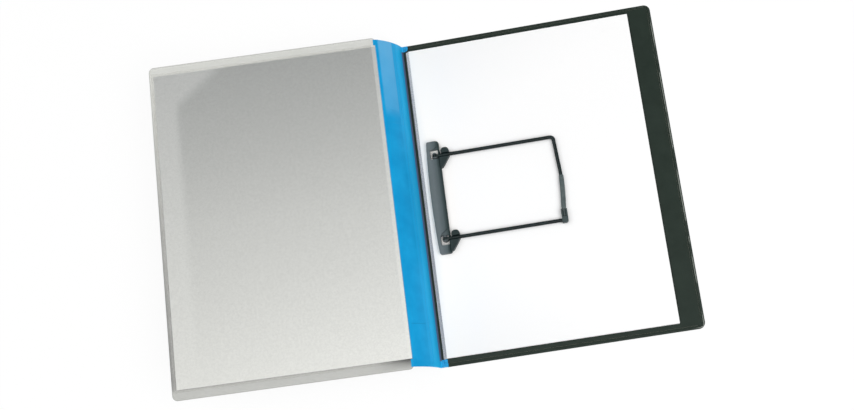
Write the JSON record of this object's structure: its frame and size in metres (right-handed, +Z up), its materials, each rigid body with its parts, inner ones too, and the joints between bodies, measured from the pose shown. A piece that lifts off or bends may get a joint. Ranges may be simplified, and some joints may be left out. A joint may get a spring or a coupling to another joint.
{
  "type": "clip binder",
  "caption": "A4 clip binder lying open: clear front cover with pocket, bowed spine, stiff back cover, punched sheets held by a two-prong bail clip with a compressor bar.",
  "frame": {"origin": "middle of the back cover's underside, where it lies on the table", "axes": "+X from the spine to the back cover's free edge, +Y up the page, +Z up"},
  "size_m": [0.4748, 0.316, 0.0521],
  "materials": {
    "black_foil": "embossed black foil, satin",
    "board": "grey board",
    "blue_foil": "blue foil, satin",
    "clear_foil": "clear foil, faintly frosted",
    "label_card": "plain white card",
    "insert_sheet": "plain pale grey sheet",
    "white_sheets": "plain white office paper",
    "clip_plastic": "dark grey moulded plastic, satin",
    "rod_plastic": "dark moulded plastic, semi-gloss",
    "rivet_metal": "plated steel"
  },
  "bodies": {
    "back_cover": {"back_outer_foil": "black_foil", "back_board": "board", "back_inner_foil": "black_foil", "filed_sheets": "white_sheets", "clip_base_strip": "clip_plastic", "clip_rivets": "rivet_metal", "upper_post": "clip_plastic", "lower_post": "clip_plastic", "upper_hinge_pin": "rivet_metal", "lower_hinge_pin": "rivet_metal"},
    "spine": {"spine_strip": "blue_foil", "spine_label_pocket": "clear_foil", "spine_label_card": "label_card"},
    "front_cover": {"front_outer_foil": "clear_foil", "front_pocket_foil": "clear_foil"},
    "insert": {"front_insert_sheet": "insert_sheet"},
    "bar": {"compressor_bar": "clip_plastic"},
    "bail": {"upper_knuckle": "rod_plastic", "lower_knuckle": "rod_plastic", "lower_arm": "rod_plastic", "corner_socket": "rod_plastic"},
    "gate": {"gate_rod": "rod_plastic", "latch_grip": "rod_plastic"}
  },
  "joints": [
    {"name": "spine_hinge", "type": "hinge", "parent": "back_cover", "child": "spine", "pos_m": [-0.1196, 0, 0.00045], "axis": [0, -1, 0], "range_deg": [-33, 147]},
    {"name": "front_cover_hinge", "type": "hinge", "parent": "spine", "child": "front_cover", "pos_m": [-0.13921, 0, 0.03064], "axis": [0, -1, 0], "range_deg": [-141.5, 38.5]},
    {"name": "insert_slide", "type": "slide", "parent": "front_cover", "child": "insert", "axis": [0.9954, 0, -0.0958], "range_m": [0, 0.18]},
    {"name": "bail_swing", "type": "hinge", "parent": "back_cover", "child": "bail", "pos_m": [-0.1, 0, 0.008], "axis": [0, -1, 0], "range_deg": [0, 90]},
    {"name": "gate_twist", "type": "hinge", "parent": "bail", "child": "gate", "pos_m": [-0.1, 0.04, 0.008], "axis": [-1, 0, 0], "range_deg": [0, 90]},
    {"name": "bar_lift", "type": "slide", "parent": "back_cover", "child": "bar", "axis": [0, 0, 1], "range_m": [0, 0.003]}
  ],
  "couplings": [
    {"joint": "bar_lift", "follows": "bail_swing", "m_per_rad": 0.0019}
  ]
}
